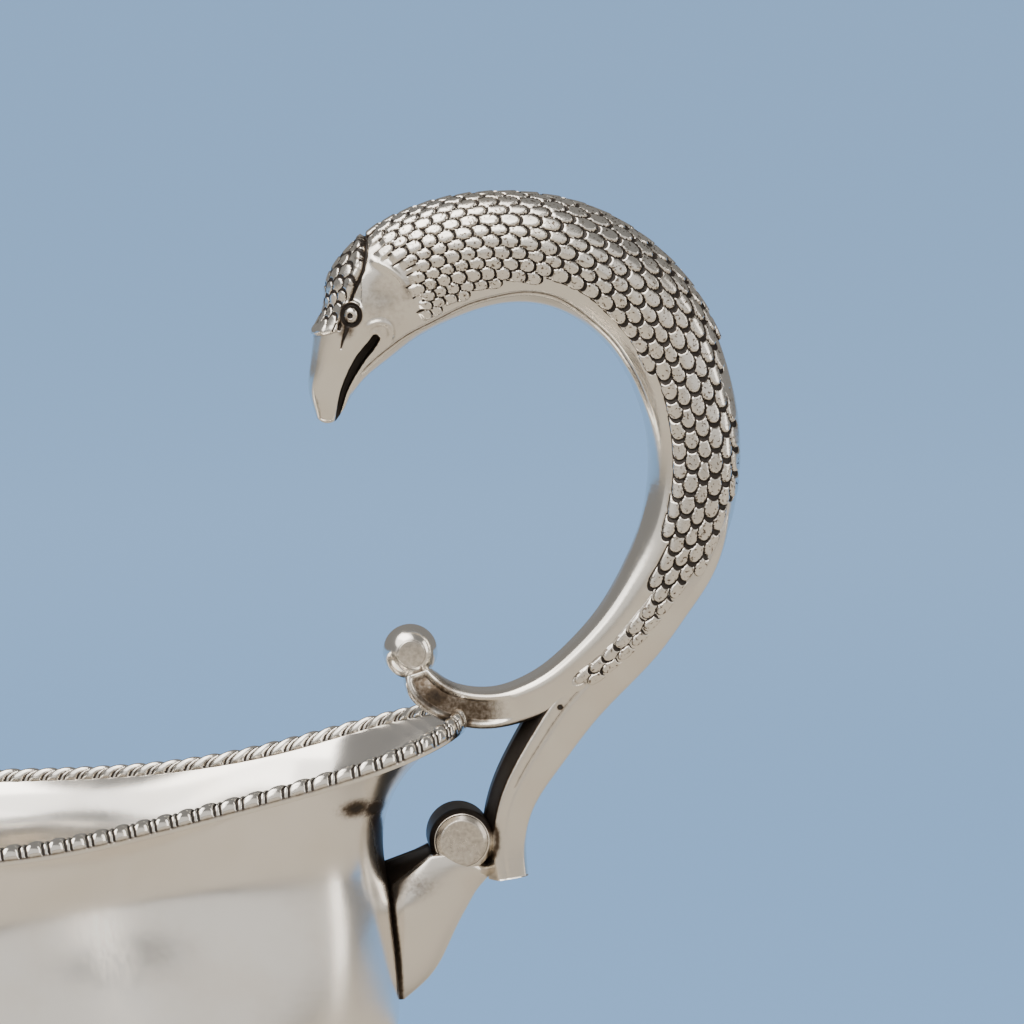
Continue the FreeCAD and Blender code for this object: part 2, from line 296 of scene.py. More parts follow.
def silver(name, tint, gloss, scratch, tarnish):
    """Polished silver: fine scratches, a breath of haze, and dark oxide with painted shade where the mesh
    says so.
    """
    tree = Silver(name)
    cloud = tree.noise(90.0, 5.0)
    oxide_and_shade = tree.oxide_and_shade()
    hazy = tuple(channel * left for channel, left in zip(tint, HAZE_TONE)) + (1.0,)
    bright = tree.mix(tree.ramp(cloud, 0.40, 0.75, 0.0, tarnish), tint + (1.0,), hazy)
    brown = tree.mix(tree.ramp(oxide_and_shade, 0.05, 0.55, 0.0, 1.0), bright, OXIDE_AND_SHADE_BROWN)
    black = tree.mix(tree.ramp(oxide_and_shade, 0.38, 0.76, 0.0, 1.0), brown, OXIDE_AND_SHADE_BLACK)
    polish = tree.ramp(cloud, 0.3, 0.7, gloss, gloss * 1.6)
    rough = tree.maths("ADD", polish, tree.ramp(oxide_and_shade, 0.1, 0.8, 0.0, 0.28))
    metal = tree.ramp(oxide_and_shade, 0.5, 1.0, 1.0, 0.35)
    looks = {"Base Color": black, "Roughness": rough, "Metallic": metal, "Normal": tree.scratches(scratch)}
    for socket, value in looks.items():
        tree.links.new(value, tree.shader.inputs[socket])
    return tree.material


# (tint, roughness where it is polished, scratch strength, haze)
BOWL = silver("bowl_silver", (0.935, 0.90, 0.85), 0.16, 0.30, 0.22)
CAST = silver("handle_silver", (0.86, 0.83, 0.775), 0.15, 0.45, 0.30)
BORDER = silver("border_silver", (0.87, 0.84, 0.785), 0.13, 0.35, 0.25)
BRACKET = silver("bracket_silver", (0.86, 0.825, 0.77), 0.17, 0.40, 0.40)
FOOT = silver("foot_silver", (0.89, 0.86, 0.81), 0.08, 0.28, 0.12)

# ---- bowl

SHEET = 1.1
BOWL_BOTTOM = 26.0
RIM_BACK, RIM_FRONT = 78.0, -92.0
RIM_LOW_X, RIM_LOW_Z = 3.0, 81.0
RIM_RISE_BACK, RIM_RISE_FRONT = 14.0, 16.0
# (share of the rim's height, back x, front x, half width, share of the waists)
BOWL_LEVELS = [
    (0.00, 20.0, -20.0, 14.0, 0.00),
    (0.03, 33.0, -32.0, 21.5, 0.04),
    (0.09, 47.0, -45.0, 29.5, 0.12),
    (0.20, 60.0, -57.0, 36.0, 0.25),
    (0.35, 68.4, -64.0, 40.0, 0.50),
    (0.52, 69.2, -67.0, 40.6, 0.70),
    (0.68, 68.2, -69.5, 39.4, 0.85),
    (0.83, 67.2, -74.0, 38.6, 1.00),
    (0.92, 69.4, -80.5, 39.4, 1.00),
    (0.97, 73.2, -86.5, 40.8, 1.00),
    (1.00, 78.0, -92.0, 42.0, 1.00),
]
WAISTS = [(0.61, 0.285, 0.27), (-0.76, 0.24, 0.26)]     # (place along, depth, spread)
END_BLUNTNESS = 0.18
BOWL_AROUND, BOWL_UP = 320, 190
BOTTOM_RINGS = (0.02, 0.25, 0.5, 0.75)      # shares of the lowest level, from the middle out
INNER_DISH = 0.5                            # how far the inner bottom sinks towards its middle
# A line of tarnish left by the solder at the handle end, in the side view
SOLDER_EDGE = [
    (65.6, 83.0), (66.0, 81.4), (66.4, 79.0), (66.8, 76.6), (67.3, 74.6), (67.8, 73.0), (68.2, 71.6),
]
# The stain at its top: (place, reach, depth)
SOLDER_STAIN = [((62.6, 85.1), (2.3, 1.4), 0.72), ((65.3, 84.5), (1.6, 1.2), 0.85)]
POD_CONTACT_HALF, POD_CONTACT_Z, POD_CONTACT_HIGH = 5.2, 66.0, 8.5


def rim_height(x):
    """Height of the rim's line at x."""
    back = RIM_RISE_BACK * ((x - RIM_LOW_X) / (RIM_BACK - RIM_LOW_X)) ** 2
    front = RIM_RISE_FRONT * ((x - RIM_LOW_X) / (RIM_FRONT - RIM_LOW_X)) ** 2
    return RIM_LOW_Z + np.where(x > RIM_LOW_X, back, front)


def level_points(level, angles):
    """Points of a level curve. Angle 0 is the handle end."""
    share, back, front, half_width, waisted = level
    along = np.cos(angles)
    x = (back + front) / 2 + (back - front) / 2 * along
    width = 1 + waisted * END_BLUNTNESS * along ** 8
    for where, depth, spread in WAISTS:
        width = width - waisted * depth * bell(along - where, spread)
    y = half_width * np.sin(angles) * width
    return np.stack([x, y, BOWL_BOTTOM + share * (rim_height(x) - BOWL_BOTTOM)], -1)


def bowl_skins():
    """The outer and inner skins, row by row from the bottom. Columns crowd at the handle end."""
    table = np.array(BOWL_LEVELS)
    run = chord(np.stack([table[:, 1], table[:, 0] * 60], 1))
    levels = spline(run, table, np.linspace(0, run[-1], BOWL_UP))
    levels[:, 0] = np.clip(levels[:, 0], 0, 1)
    even = np.linspace(0, 2 * math.pi, BOWL_AROUND, endpoint=False)
    angles = even - 0.6 * np.sin(even)
    outer = np.array([level_points(level, angles) for level in levels])
    out = np.cross(np.roll(outer, -1, 1) - np.roll(outer, 1, 1), np.gradient(outer, axis=0))
    out /= np.linalg.norm(out, axis=2)[:, :, None]
    inner = outer - out * SHEET
    inner[-1, :, 2] = outer[-1, :, 2]
    return outer, inner


def bowl_tarnish(points):
    """Tarnish on the handle end where the handle's bracket is soldered on."""
    x, y, z = points[:, 0], points[:, 1], points[:, 2]
    d, _ = to_line(x, z, smooth_line(SOLDER_EDGE, 120))
    dark = 0.80 * bell(d, 0.85)
    for place, reach, depth in SOLDER_STAIN:
        dark = np.maximum(dark, depth * spot(x, z, place, reach))
    beside = np.maximum(0, np.abs(y) - POD_CONTACT_HALF)
    above = np.maximum(0, np.abs(z - POD_CONTACT_Z) - POD_CONTACT_HIGH)
    dark = np.maximum(dark, 0.7 * bell(np.hypot(beside, above), 0.7))
    outside_skin = np.arange(len(points)) < (len(BOTTOM_RINGS) + BOWL_UP) * BOWL_AROUND
    return dark * (x > 55) * outside_skin


def make_bowl():
    """The raised bowl's two skins, which meet under the border, and its two bottoms."""
    outer, inner = bowl_skins()
    rows = []
    for share in BOTTOM_RINGS:
        ring = outer[0] * share
        ring[:, 2] = BOWL_BOTTOM
        rows.append(ring)
    rows.extend(outer)
    rows.extend(inner[::-1])
    for share in BOTTOM_RINGS[::-1]:
        ring = inner[0] * share
        ring[:, 2] = inner[0, :, 2] - INNER_DISH * (1 - share ** 2)
        rows.append(ring)
    points = np.array(rows).reshape(-1, 3)
    faces = tube_faces(len(rows), BOWL_AROUND)
    make_mesh("bowl", points, faces, "bowl_shell", BOWL, bowl_tarnish(points))


make_bowl()

# ---- border wires

WIRE_HIGH, WIRE_THICK, WIRE_BASE = 2.25, 2.3, 0.35
LOBE_PERIOD, NEAR_LOBE_PERIOD = 2.95, 3.3
LOBE_SLANT, FAR_LOBE_SLANT = 0.55, -0.85        # in periods, from the outside to the inside
POINTS_A_PERIOD, POINTS_ROUND = 20, 30
RING_LONG, RING_WIDE, RING_HIGH, RING_BAND = 39.0, 29.0, 1.6, 4.2
FOOT_WIRE_INSET = 1.2


def border(name, path, side, node, slant=LOBE_SLANT, period=LOBE_PERIOD):
    """Half a border wire of lobes and thin reels along a path of points, flat below."""
    run = chord(path)
    periods = round(run[-1] / period)
    s = np.linspace(0, run[-1], periods * POINTS_A_PERIOD + 1)
    line = np.stack([np.interp(s, run, path[:, i]) for i in range(3)], 1)
    ahead = np.gradient(line, axis=0)
    ahead[0, 0] = ahead[-1, 0] = 0
    outward = np.stack([ahead[:, 1], -ahead[:, 0], np.zeros(len(s))], 1)
    outward /= np.linalg.norm(outward, axis=1)[:, None]
    turn = np.linspace(-0.12, 1.12, POINTS_ROUND)       # half turns, from the outside over the top
    side_share, up_share = np.cos(turn * math.pi), np.clip(np.sin(turn * math.pi), -0.3, 1)
    across = np.sign(side_share) * np.abs(side_share) ** 0.8
    high = np.sign(up_share) * np.abs(up_share) ** 0.85
    phase = (s[:, None] / run[-1] * periods + slant * step(0.25, 1.0, turn)[None, :]) % 1.0
    lobe = np.clip(1 - ((phase - 0.36) / 0.345) ** 2, 0, 1) ** 0.38
    reel = np.clip(1 - ((phase - 0.85) / 0.105) ** 2, 0, 1) ** 0.5 * 0.66
    swell = np.maximum(lobe, reel)
    band = step(0.02, 0.16, high)[None, :]
    radius = 0.70 + 0.34 * swell * band + 0.24 * (1 - band)
    points = line[:, None, :] + outward[:, None, :] * (across[None, :] * radius * WIRE_THICK / 2)[:, :, None]
    points[:, :, 2] += WIRE_BASE + (WIRE_HIGH - WIRE_BASE) * high[None, :] * radius
    points[:, :, 1] *= side
    dark = (1 - step(0.08, 0.58, swell)) * band * 1.25 + 0.5 * bell(high[None, :] - 0.08, 0.09)
    faces = tube_faces(len(s), POINTS_ROUND, flip=side > 0)
    make_mesh(name, points, faces, node, BORDER, dark)


half_turn = np.linspace(0, math.pi, 600)
rim_line = level_points(BOWL_LEVELS[-1], half_turn)
foot_line = np.stack([(RING_LONG - FOOT_WIRE_INSET) * np.cos(half_turn),
                      (RING_WIDE - FOOT_WIRE_INSET) * np.sin(half_turn), np.full(600, RING_HIGH)], 1)
border("rim_border_left_lobed", rim_line, 1, "rim_border_left", slant=FAR_LOBE_SLANT)
border("rim_border_right_lobed", rim_line, -1, "rim_border_right", period=NEAR_LOBE_PERIOD)
border("foot_border_left_lobed", foot_line, 1, "foot_border_left")
border("foot_border_right_lobed", foot_line, -1, "foot_border_right")

# ---- handle

# The neck from beak tip to tail: (x, z, thickness in the side view, width across, squareness)
NECK = [
    (59.2, 137.0, 2.2, 2.6, 0.9),
    (59.6, 139.4, 4.4, 4.0, 0.9),
    (60.2, 142.2, 6.3, 5.2, 0.9),
    (61.3, 145.4, 8.6, 6.8, 0.9),
    (63.3, 149.4, 12.2, 9.0, 0.9),
    (67.2, 154.8, 15.4, 11.0, 0.9),
    (74.2, 159.1, 16.3, 12.4, 0.92),
    (84.8, 161.3, 15.3, 13.0, 0.92),
    (93.9, 159.8, 14.8, 13.0, 0.92),
    (101.3, 155.2, 14.5, 12.8, 0.92),
    (106.0, 149.6, 14.1, 12.6, 0.92),
    (109.0, 143.0, 13.5, 12.4, 0.92),
    (110.7, 135.6, 13.1, 12.2, 0.90),
    (110.7, 128.7, 12.8, 11.9, 0.86),
    (108.9, 120.8, 12.0, 11.3, 0.78),
    (105.0, 113.6, 10.2, 10.6, 0.62),
    (100.6, 107.8, 8.4, 10.1, 0.48),
    (95.6, 103.1, 7.0, 9.8, 0.42),
    (91.0, 99.9, 5.9, 9.5, 0.42),
    (87.0, 98.0, 5.4, 9.2, 0.38),
    (82.6, 96.9, 5.2, 9.0, 0.38),
    (78.2, 97.2, 5.2, 8.6, 0.42),
    (74.7, 98.6, 5.2, 7.8, 0.52),
    (72.6, 100.5, 4.9, 6.5, 0.56),
    (71.7, 102.7, 3.4, 5.0, 0.60),
]
# The strut from inside the neck to the bracket, in the same way. Its section is STRUT_SECTION.
STRUT = [
    (113.9, 131.5, 5.0, 5.0, 1.0),
    (112.4, 122.9, 6.6, 8.8, 1.0),
    (110.0, 117.2, 7.6, 10.0, 1.0),
    (106.8, 112.7, 8.0, 10.5, 1.0),
    (102.9, 107.6, 8.4, 10.3, 1.0),
    (98.0, 102.5, 8.6, 9.7, 1.0),
    (93.9, 98.1, 8.5, 9.5, 1.0),
    (89.1, 91.2, 7.7, 9.3, 1.0),
    (85.2, 84.0, 6.5, 9.3, 1.0),
    (84.2, 78.4, 6.0, 9.4, 1.0),
    (84.7, 73.2, 5.6, 9.8, 1.0),
]
# Its section from the back to the inner side: (share of the half thickness, share of the half width)
STRUT_SECTION = [
    (1.0, 0.0), (0.995, 0.40), (0.97, 0.66), (0.91, 0.83), (0.80, 0.93), (0.60, 0.975), (0.30, 0.99),
    (0.0, 1.0),
    (-0.14, 0.985), (-0.24, 0.995), (-0.40, 1.0), (-0.55, 0.99), (-0.62, 0.94), (-0.69, 0.84), (-0.95, 0.42),
    (-1.0, 0.34), (-1.0, 0.0),
]
# The feathered field in the side view: its inner edge from head to tail, then its outer edge back
FIELD_INNER = [
    (64.8, 166.0), (65.3, 162.6), (67.5, 161.1), (69.6, 159.7), (71.1, 158.0), (71.9, 156.2), (72.3, 154.1),
    (73.0, 152.3), (76.6, 154.0), (80.2, 156.0), (85.3, 157.0), (91.3, 157.2), (94.3, 156.2), (97.7, 153.5),
    (100.3, 151.0), (103.3, 146.2), (105.0, 143.0), (107.0, 138.0), (107.5, 134.1), (107.9, 128.9),
    (107.7, 126.1), (106.6, 121.5), (105.2, 116.7), (103.7, 112.9), (100.8, 108.6), (99.0, 106.6),
    (95.9, 103.7), (93.1, 100.5),
]
FIELD_OUTER = [
    (97.6, 100.9), (104.0, 107.2), (108.2, 111.9), (111.3, 116.0), (113.6, 119.4), (115.2, 123.3),
    (116.0, 126.5), (116.8, 129.4), (117.1, 132.8), (116.8, 135.4), (116.2, 138.0), (115.5, 140.9),
    (114.7, 143.7), (113.8, 147.1), (113.4, 150.4), (118.0, 153.0), (112.0, 168.0), (90.0, 176.0),
    (66.0, 172.0),
]
# Features of the side view. The throat line runs along the throat and the inside of the neck.
THROAT_LINE = [
    (63.3, 143.4), (65.5, 145.7), (67.5, 147.4), (70.6, 149.6), (74.5, 151.6), (79.0, 153.8), (82.9, 154.9),
    (87.1, 155.5), (91.0, 154.8), (93.9, 153.2), (96.8, 150.9), (99.4, 148.3), (101.0, 146.0), (102.4, 143.7),
    (103.6, 141.0), (104.6, 138.2), (105.4, 135.2),
]
# The crest cap's outline, which runs well outside the head at the front
CREST = [
    (64.9, 166.0), (64.5, 160.5), (64.1, 158.6), (63.3, 156.9), (62.5, 155.2), (61.9, 153.8), (61.1, 152.4),
    (60.8, 151.0), (60.7, 150.2), (59.1, 149.7), (57.4, 149.4), (50.0, 149.0), (50.0, 166.0),
]
CREST_BACK = [(64.9, 164.0), (64.5, 160.5), (64.1, 158.6), (63.3, 156.9), (62.6, 155.4)]
CHEEK = [(64.9, 160.2), (67.2, 159.3), (69.3, 157.7), (70.6, 155.9), (71.1, 154.1), (70.9, 152.6)]
EYE = (62.6, 152.4)
VENT = (91.7, 97.4)
TEAR = [(62.1, 151.0), (61.8, 149.9), (61.4, 148.7), (61.2, 147.7)]
MOUTH = [
    (66.0, 149.1), (65.5, 148.3), (64.4, 146.9), (63.3, 145.2), (62.3, 143.2), (61.6, 141.4), (61.15, 139.5),
    (60.8, 137.6), (60.6, 136.0),
]
MOUTH_HALF = [0.52, 0.60, 0.60, 0.55, 0.47, 0.39, 0.32, 0.26, 0.26]
MOUTH_FOLD = [
    (64.3, 149.9), (65.3, 151.0), (66.6, 151.4), (67.8, 151.0), (68.2, 149.9), (67.8, 148.6), (67.0, 147.9),
]
# Down the neck from the beak's tip, as (distance, value)
FEATHER_PITCH = [(0, 1.8), (24, 1.9), (36, 2.35), (50, 2.8), (66, 3.2), (95, 3.0), (120, 2.4), (140, 2.0)]
FEATHERS_ROUND_HALF = [(0, 17.0), (24, 16.6), (45, 14.0), (75, 12.0), (110, 12.0), (140, 12.6)]
TIP_SHADOW = [(36, 0.19), (60, 0.33), (100, 0.34), (116, 0.28)]
SIDE_SHADOW = [(104, 0.18), (116, 0.12)]
FEATHER_HEIGHT = [(104, 1.0), (116, 0.6)]
HEAD_END = 75.0                     # x where the head ends and feathers keep inside their field
BROW_Z, BEAK_RIDGE_Z = 153.4, 142.5
CERE_TOP = 150.2                    # the crest's edge is a groove above this and a soft line below
NECK_ROWS, NECK_COLUMNS = 1500, 132
BLUNT_ROWS = 8                      # rows over which each end is rounded off
STRUT_ROWS, STRUT_COLUMNS = 260, 90


def scales(rows, across, keep, seed, tip_line, side_line):
    """Overlapping scales, tips down the limb: relief height, dark crescent past each edge, and cover.
    The crescent is painted undercut shadow, with oxide in it.
    rows and across are places along and around, counted in scales. keep says which scales exist.
    tip_line and side_line are how wide the crescent is, in scales."""
    found = []
    best = np.full(rows.shape, -1.0)
    height = np.zeros(rows.shape)
    cover = np.zeros(rows.shape)
    for dc in (-1, 0, 1):
        c = np.floor(across) + dc
        shift = (0.5 * c) % 1.0
        first = np.floor(rows - shift)
        for dr in (0, -1, -2):
            i = first + dr
            wobble = np.sin(12.9898 * i + 78.233 * c + seed)
            other = np.sin(39.346 * i + 11.135 * c + 2.1 * seed)
            dx = np.abs(across - c - 0.5 - 0.05 * other) / (0.60 + 0.03 * wobble)
            dy = rows - i - shift - 0.06 * wobble
            ahead = np.clip((dy - 0.62) / (0.64 + 0.04 * other), 0, None)
            reach = np.sqrt(ahead ** 2 + dx ** 2.3)
            real = keep(i + shift + 0.62, c + 0.5) & (dy > 0)
            covers = real & (reach < 1)
            on_top = covers & (dy > best)
            best = np.where(on_top, dy, best)
            bevel = step(0.0, 0.15, 1 - reach)
            crown = 1 - 0.26 * np.clip(dx, 0, 1) ** 2
            root = step(0.0, 0.5, dy)
            value = (0.46 * root + 0.30 * np.clip(dy / 1.26, 0, 1)) * crown * (0.40 + 0.60 * bevel)
            height = np.where(on_top, value, height)
            cover = np.where(on_top, root, cover)
            found.append((real, dy, reach, ahead / np.maximum(reach, 1e-6)))
    crescent = np.zeros(rows.shape)
    for real, dy, reach, tipward in found:
        line = side_line + (tip_line - side_line) * tipward ** 2
        inside_line = 1 - step(0.68 * line, 1.05 * line, reach - 1)
        crescent = np.maximum(crescent, np.where(real & (dy > best) & (reach >= 1), inside_line, 0))
    return height, crescent, cover


def limb_line(stations, rows):
    """The line of a limb, evenly divided: its data, distance along, and direction to the back.
    A station is (x, z, thickness, width, squareness), and squareness 1 is an oval."""
    stations = np.asarray(stations, float)
    knots = chord(stations[:, :2])
    fine = spline(knots, stations, np.linspace(0, knots[-1], 6000))
    run = chord(fine[:, :2])
    s = np.linspace(0, run[-1], rows)
    line = np.stack([np.interp(s, run, fine[:, i]) for i in range(5)], 1)
    return line, s, left_of(line[:, :2])


def limb_grid(stations, rows, columns):
    """Grid over one half of a limb, with even columns: points, the line's data, distance along, the
    share of the way round from the back, and each point's share of the half thickness."""
    line, s, back = limb_line(stations, rows)
    turn = np.linspace(0, math.pi, 721)
    even = np.linspace(0, 1, columns)
    c, w = np.cos(turn), np.abs(np.sin(turn))
    points = np.zeros((rows, columns, 3))
    depth = np.zeros((rows, columns))
    for row, (x, z, thick, wide, power) in enumerate(line):
        share = np.sign(c) * np.abs(c) ** power
        side = w ** power
        run = chord(np.stack([share * thick / 2, side * wide / 2], 1))
        depth[row] = np.interp(even, run / run[-1], share)
        points[row, :, 0] = x + back[row, 0] * thick / 2 * depth[row]
        points[row, :, 1] = wide / 2 * np.interp(even, run / run[-1], side)
        points[row, :, 2] = z + back[row, 1] * thick / 2 * depth[row]
    return points, line, s, even, depth


def normals_of(points):
    """Outward unit normals of a half grid whose first and last columns lie in the middle plane."""
    mirror_first = points[:, 1:2] * (1, -1, 1)
    mirror_last = points[:, -2:-1] * (1, -1, 1)
    wide = np.concatenate([mirror_first, points, mirror_last], 1)
    around = wide[:, 2:] - wide[:, :-2]
    along = np.gradient(points, axis=0)
    normal = np.cross(along, around)
    length = np.linalg.norm(normal, axis=2)[:, :, None]
    return normal / np.maximum(length, 1e-9)


class Neck:
    """One half of the bird while it is worked: its grid, and what is laid on the grid so far."""

    def __init__(self):
        points, line, self.run, around, self.depth = limb_grid(NECK, NECK_ROWS, NECK_COLUMNS)
        for end, inward in ((0, 1), (NECK_ROWS - 1, -1)):
            for k in range(BLUNT_ROWS):
                row = end + inward * k
                middle = np.array([line[row, 0], 0, line[row, 1]])
                points[row] = middle + (points[row] - middle) * math.sqrt(1 - (1 - k / BLUNT_ROWS) ** 2)
        self.points = points
        self.normal = normals_of(points)
        self.x, self.z = points[:, :, 0], points[:, :, 2]
        self.relief, self.dark, self.feather = np.zeros((3,) + self.x.shape)
        # places along and around, counted in feathers
        pitch = read(FEATHER_PITCH, self.run)
        self.row_count = np.concatenate([[0], np.cumsum(np.diff(self.run) / pitch[1:])])
        self.column_count = read(FEATHERS_ROUND_HALF, self.run)
        self.along = self.row_count[:, None] + 0 * around[None, :]
        self.across = around[None, :] * self.column_count[:, None]

    def darken(self, amount):
        self.dark = np.maximum(self.dark, amount)

    def near(self, line, count):
        """Distance to a smooth line of the side view, and the share of it that is nearest."""
        return to_line(self.x, self.z, smooth_line(line, count))

    def scales(self, region, seed, tip_line, side_line, finer=(1.0, 1.0)):
        """The scales whose middle lies where region is positive. finer is how many of them there are
        along and around for one feather of the neck."""
        def keep(row, column):
            r = np.interp(row / finer[0], self.row_count, np.arange(NECK_ROWS)).astype(int)
            c = column / finer[1] / self.column_count[r] * (NECK_COLUMNS - 1)
            return region[r, np.clip(c, 0, NECK_COLUMNS - 1).astype(int)] > 0
        return scales(self.along * finer[0], self.across * finer[1], keep, seed, tip_line, side_line)


def lay_feathers(neck):
    """The overlapping feathers from the nape to the strut."""
    field = inside(neck.x, neck.z, np.array(FIELD_INNER + FIELD_OUTER))
    region = field + np.where(neck.x < HEAD_END, 0.45, -0.25)
    tip_line, side_line = read(TIP_SHADOW, neck.run)[:, None], read(SIDE_SHADOW, neck.run)[:, None]
    height, crescent, neck.cover = neck.scales(region, 0.7, tip_line, side_line)
    height = height * read(FEATHER_HEIGHT, neck.run)[:, None]
    neck.relief += 0.62 * height + 0.10 * neck.cover - 0.20 * crescent
    # the crescents are painted undercut shadow, with oxide in it
    neck.darken(crescent * 1.15)
    neck.feather = neck.cover * (1 - crescent)


def carve_brow(neck):
    """The dip of the brow and the swell of the beak's ridge, on the front of the head."""
    front = step(0.0, 0.9, neck.depth) * (neck.x < 64)
    neck.relief -= 1.15 * front * bell(neck.z - BROW_Z, 2.7) * step(149.9, 151.0, neck.z)
    neck.relief += 0.35 * front * bell(neck.z - BEAK_RIDGE_Z, 3.0)


def draw_throat_line(neck):
    d, share = neck.near(THROAT_LINE, 120)
    fade = step(0, 0.04, share) * (1 - step(0.85, 1, share))
    neck.relief += fade * (0.09 * bell(d - 0.35, 0.30) - 0.06 * bell(d, 0.22))
    neck.darken(0.46 * fade * bell(d, 0.16))


def lay_crest(neck):
    """The crest cap: it stands proud of the face, with small scales and a notched bead behind."""
    crest = inside(neck.x, neck.z, np.array(CREST))
    on_crest = step(-0.04, 0.14, crest)
    small, small_dark, _ = neck.scales(crest - 0.9, 3.1, 0.42, 0.10, finer=(1.15, 0.82))
    d, share = neck.near(CREST_BACK, 60)
    bead = bell(d - 0.55, 0.42) * on_crest
    neck.relief += 0.42 * on_crest + 0.28 * bead + on_crest * (0.20 * small - 0.14 * small_dark)
    # the small scales' crescents are painted undercut shadow, with oxide in it
    neck.darken(on_crest * small_dark * 1.3)
    neck.darken(0.42 * bead * step(0.3, 0.9, np.sin(share * 44)))
    edge = bell(crest + 0.16, 0.17) * (neck.z > CERE_TOP)
    neck.relief -= 0.30 * edge
    neck.darken(1.1 * edge)
    neck.darken(0.34 * bell(crest + 0.12, 0.14) * (neck.z <= CERE_TOP))
    neck.feather = np.maximum(neck.feather, 0.6 * on_crest * step(0.9, 1.3, crest))


def shape_cheek(neck):
    """The cheek: a curved ridge, a soft hollow inside it, and a shade under the first feathers."""
    d, share = neck.near(CHEEK, 80)
    fade = step(0, 0.12, share) * (1 - step(0.75, 1, share))
    hollow = spot(neck.x, neck.z, (67.3, 155.6), (2.6, 2.6))
    neck.relief += 0.34 * fade * bell(d, 0.55) - 0.36 * hollow
    face = plateau(np.hypot(neck.x - 66.6, neck.z - 153.2), 4.6)
    neck.darken(0.13 * face + 0.10 * hollow)
    neck.darken(0.30 * spot(neck.x, neck.z, (70.4, 156.2), (1.3, 2.6)) * (1 - neck.cover))


def set_eye(neck):
    """The eye: a bead in a dark ring, with a drilled pupil painted black as the shade inside it."""
    across, up = (neck.x - EYE[0]) / 0.95, (neck.z - EYE[1]) / 1.12
    r = np.hypot(across, up)
    ball = np.sqrt(np.clip(1 - (r / 1.08) ** 2, 0, 1))
    pupil = 1 - step(0.26, 0.42, np.hypot(across + 0.05, up + 0.04))
    eye = 0.10 + 0.50 * ball - 0.42 * bell(r - 1.22, 0.26) - 0.35 * pupil
    near = 1 - step(1.5, 2.1, r)
    neck.relief = neck.relief * (1 - near) + near * eye
    # the pupil's black is painted shade inside the hole
    neck.dark = neck.dark * (1 - near) + near * 1.2 * np.maximum(bell(r - 1.34, 0.30), pupil)
    neck.darken(0.44 * plateau(np.hypot((neck.x - 61.9) / 1.5, (neck.z - 150.9) / 2.0), 1))
    neck.feather = neck.feather * (1 - near)


def cut_tear(neck):
    """The groove below the eye, which narrows downwards."""
    d, share = neck.near(TEAR, 40)
    half = 0.42 - 0.32 * share
    neck.relief -= 0.25 * bell(d, half)
    neck.darken(plateau(d, half) * (1 - 0.4 * share))


def cut_mouth(neck):
    """The open beak's lips, with the slit between them painted black as the shade inside it, and the fold at
    its corner. Returns where the slit is.
    """
    d, share = neck.near(MOUTH, 120)
    half = np.interp(share, np.linspace(0, 1, len(MOUTH_HALF)), MOUTH_HALF)
    slit = 1 - step(-0.10, 0.12, d - half)
    neck.relief += 0.12 * bell(d - half - 0.35, 0.30)
    # the slit's black is painted shade
    neck.darken(1.3 * slit)
    d, share = neck.near(MOUTH_FOLD, 80)
    fade = step(0, 0.25, share) * (1 - step(0.7, 1, share))
    neck.relief += 0.26 * fade * bell(d, 0.42)
    neck.darken(0.24 * fade * bell(d - 0.5, 0.25))
    return slit


def hollow_tail(neck):
    """The tail scroll: raised edges, a hollow channel on the side, and a drilled vent painted black as the
    shade inside it.
    """
    to_end = neck.run[-1] - neck.run
    tail = ((1 - step(11.5, 17.0, to_end)) * step(0, 1.5, to_end))[:, None]
    off_middle = np.abs(neck.depth)
    channel = (1 - step(0.48, 0.74, off_middle)) * tail
    neck.relief += tail * 0.18 * bell(off_middle - 0.86, 0.14) - 0.70 * channel
    neck.darken(0.48 * channel)
    neck.darken(0.64 * spot(neck.x, neck.z, (74.3, 98.9), (3.4, 2.6)) * tail)
    # the vent's black is painted shade inside the hole
    vent = plateau(np.hypot(neck.x - VENT[0], neck.z - VENT[1]), 0.36)
    neck.relief -= 0.5 * vent
    neck.darken(1.2 * vent)


def darken_seat_and_shade_underside(neck):
    """Oxide where the scroll sits on the rim, and painted shade on its underside over the bracket."""
    neck.darken(0.8 * spot(neck.x, neck.z, (77.0, 95.6), (3.4, 1.3)))
    over_bracket = step(74, 78, neck.x) * (1 - step(88, 93, neck.x)) * (neck.z < 98)
    # painted shade on the downward-facing underside
    neck.darken(0.42 * step(0.2, 0.8, -neck.normal[:, :, 2]) * over_bracket)


def bird_half():
    """One half of the bird, worked all over: its points, oxide and feather cover."""
    neck = Neck()
    for work in (lay_feathers, carve_brow, draw_throat_line, lay_crest, shape_cheek, set_eye, cut_tear):
        work(neck)
    slit = cut_mouth(neck)
    hollow_tail(neck)
    darken_seat_and_shade_underside(neck)
    relief = neck.relief * step(0.05, 0.6, neck.run / 6.0)[:, None]
    points = neck.points + neck.normal * relief[:, :, None]
    on_side = np.abs(neck.normal[:, :, 1]) > 0.05
    points[:, :, 1] -= slit * np.minimum(points[:, :, 1] * 0.55, 2.2) * on_side
    points[:, :, 1] = np.maximum(points[:, :, 1], 0)
    points[:, 0, 1] = points[:, -1, 1] = 0
    return points, neck.dark, neck.feather


def strut_section():
    """The strut's section with its corners softened, as (share of half thickness, of half width)."""
    profile = np.array(STRUT_SECTION)
    run = chord(profile)
    fine = np.stack([np.interp(np.linspace(0, run[-1], 400), run, profile[:, i]) for i in (0, 1)], 1)
    padded = np.vstack([fine[1:5][::-1] * (1, -1), fine, fine[-5:-1][::-1] * (1, -1)])
    soft = np.ones(9) / 9
    fine = np.stack([np.convolve(padded[:, i], soft, "valid") for i in (0, 1)], 1)
    section = fine[np.linspace(0, 399, STRUT_COLUMNS).astype(int)]
    section[0, 1] = section[-1, 1] = 0
    return section


